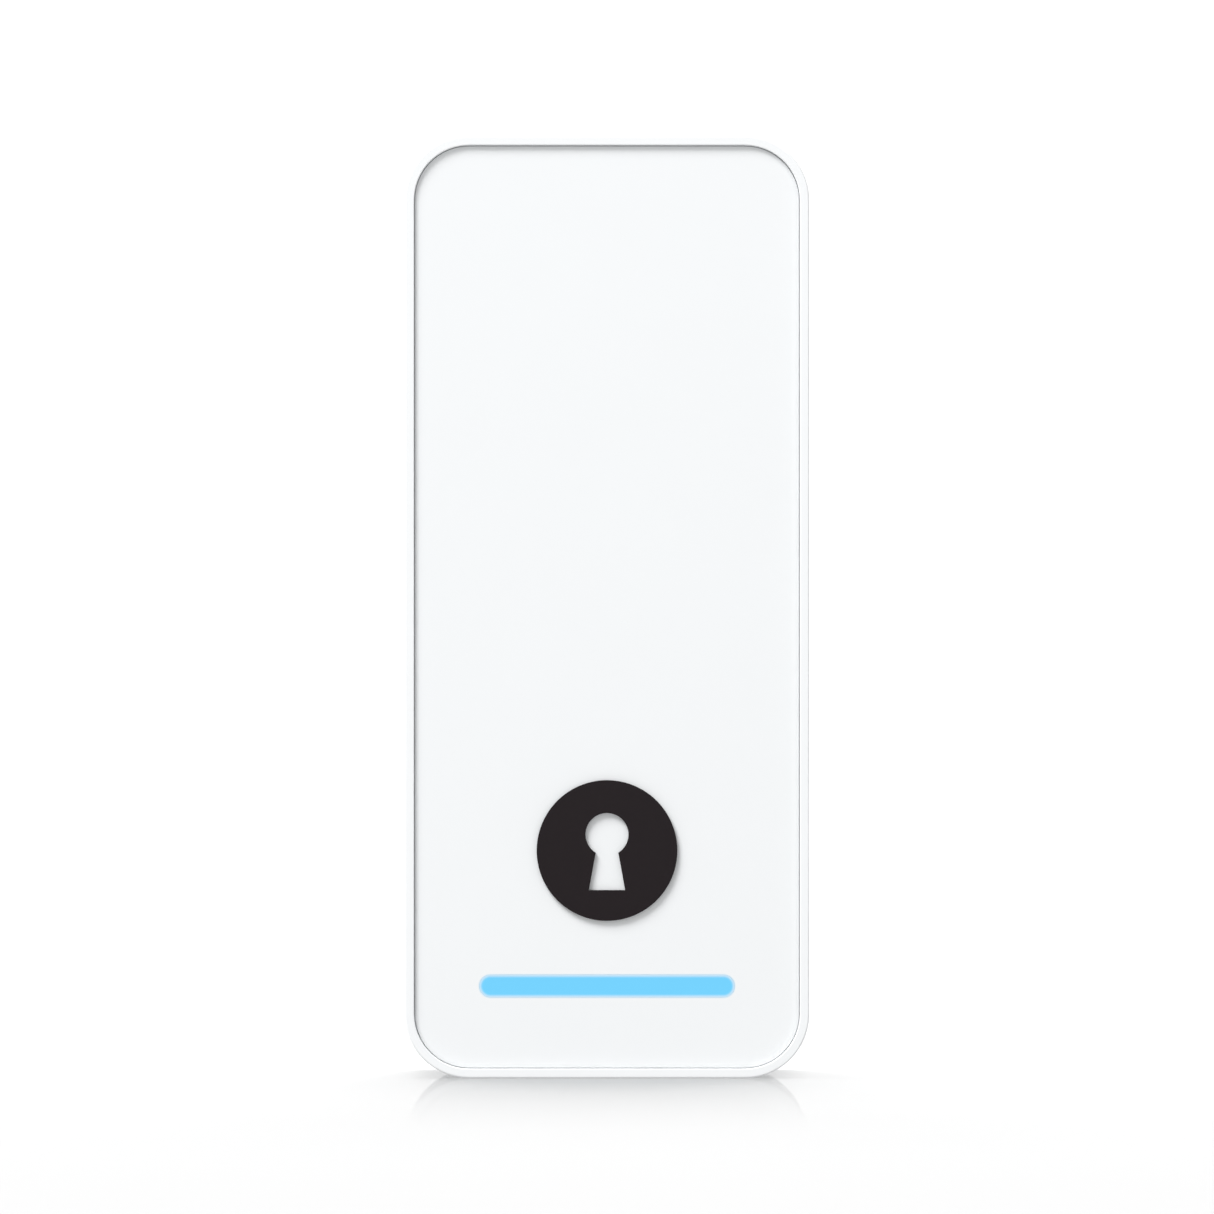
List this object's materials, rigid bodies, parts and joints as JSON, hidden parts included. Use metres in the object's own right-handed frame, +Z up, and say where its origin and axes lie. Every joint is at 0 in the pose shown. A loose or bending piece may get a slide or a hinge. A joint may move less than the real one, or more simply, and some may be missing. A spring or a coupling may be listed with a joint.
{
  "type": "rfid card reader",
  "caption": "Slim wall-mounted access card reader with a white case, round badge, light bar, network jack and a wall plate it swings out from.",
  "frame": {"origin": "middle of the wall plate's rear face, in the plane of the wall", "axes": "+Z up, +Y into the wall, +X to the right as the reader is looked at"},
  "size_m": [0.048, 0.0206, 0.1118],
  "materials": {
    "casing": "moulded white plastic, fine matte texture",
    "panel": "moulded white plastic, satin",
    "badge": "black moulded plastic, satin",
    "light": "milky light-diffusing plastic, lit light blue",
    "plate": "die-cast aluminium, light bead-blasted finish",
    "steel": "stainless steel",
    "zinc_steel": "zinc-plated steel",
    "nut": "turned brass",
    "cover": "dark grey moulded plastic, fine matte texture",
    "frame": "black moulded plastic",
    "rubber": "black silicone rubber",
    "tape": "dark grey foam tape",
    "ferrite": "dark grey ferrite",
    "board": "glass-epoxy board with green solder mask",
    "copper": "copper track",
    "chip": "black moulding compound",
    "tin": "tinned metal",
    "can": "bright drawn aluminium",
    "winding": "yellow polyester tape",
    "ceramic": "tan ceramic with tinned ends",
    "connector": "natural nylon",
    "jack_plastic": "black thermoplastic",
    "gold": "gold-plated bronze",
    "label": "blank polyester label",
    "membrane": "white breathable membrane",
    "button": "blue moulded plastic",
    "plunger": "natural acetal"
  },
  "bodies": {
    "wall_plate": {"wall_plate": "plate", "lock_nut": "nut"},
    "reader": {"housing": "casing", "hanger_pin": "steel", "front_panel": "panel", "panel_tape": "tape", "keyhole_badge": "badge", "status_lens": "light", "inner_frame": "frame", "ferrite_sheet": "ferrite", "antenna_board": "board", "antenna_coil": "copper", "antenna_connector": "connector", "main_board": "board", "processor": "chip", "reader_chip": "chip", "network_chip": "chip", "memory_chip": "chip", "power_chip": "chip", "chip_leads": "tin", "crystal": "can", "radio_board": "board", "radio_can": "tin", "network_transformer": "chip", "transformer_bobbin": "frame", "transformer_winding": "winding", "transformer_core": "ferrite", "capacitor_cans": "can", "capacitor_bases": "chip", "power_inductor": "ferrite", "small_capacitors": "ceramic", "small_resistors": "chip", "sounder": "chip", "status_leds": "label", "board_screws": "zinc_steel", "jack_shell": "tin", "jack_body": "jack_plastic", "jack_contacts": "gold", "port_seal": "rubber", "rear_cover": "cover", "rear_gasket": "rubber", "rear_cover_screws": "zinc_steel", "rating_label": "label", "vent_membrane": "membrane", "reset_switch": "chip", "tamper_switch": "chip", "screw_retainer": "steel", "screw_port_seal": "rubber"},
    "screw_slide": {"screw_washer": "steel"},
    "lock_screw": {"lock_screw": "steel"},
    "reset_button": {"reset_button": "button"},
    "tamper_plunger": {"tamper_plunger": "plunger"}
  },
  "joints": [
    {"name": "reader_swing", "type": "hinge", "parent": "wall_plate", "child": "reader", "pos_m": [0, -0.00245, 0.0521], "axis": [-1, 0, 0], "range_deg": [0, 20]},
    {"name": "screw_advance", "type": "slide", "parent": "reader", "child": "screw_slide", "axis": [0, 0, 1], "range_m": [0, 0.0032]},
    {"name": "screw_turn", "type": "hinge", "parent": "screw_slide", "child": "lock_screw", "pos_m": [0, -0.0092, -0.052], "axis": [0, 0, 1], "range_deg": [0, 2304]},
    {"name": "reset_press", "type": "slide", "parent": "reader", "child": "reset_button", "axis": [0, -1, 0], "range_m": [0, 0.0005], "stiffness_N_per_m": 1200},
    {"name": "tamper_follow", "type": "slide", "parent": "reader", "child": "tamper_plunger", "axis": [0, 1, 0], "range_m": [0, 0.0012]}
  ],
  "couplings": [
    {"joint": "screw_turn", "follows": "screw_advance", "rad_per_m": 12566},
    {"joint": "tamper_follow", "follows": "reader_swing", "m_per_rad": 0.003437}
  ]
}
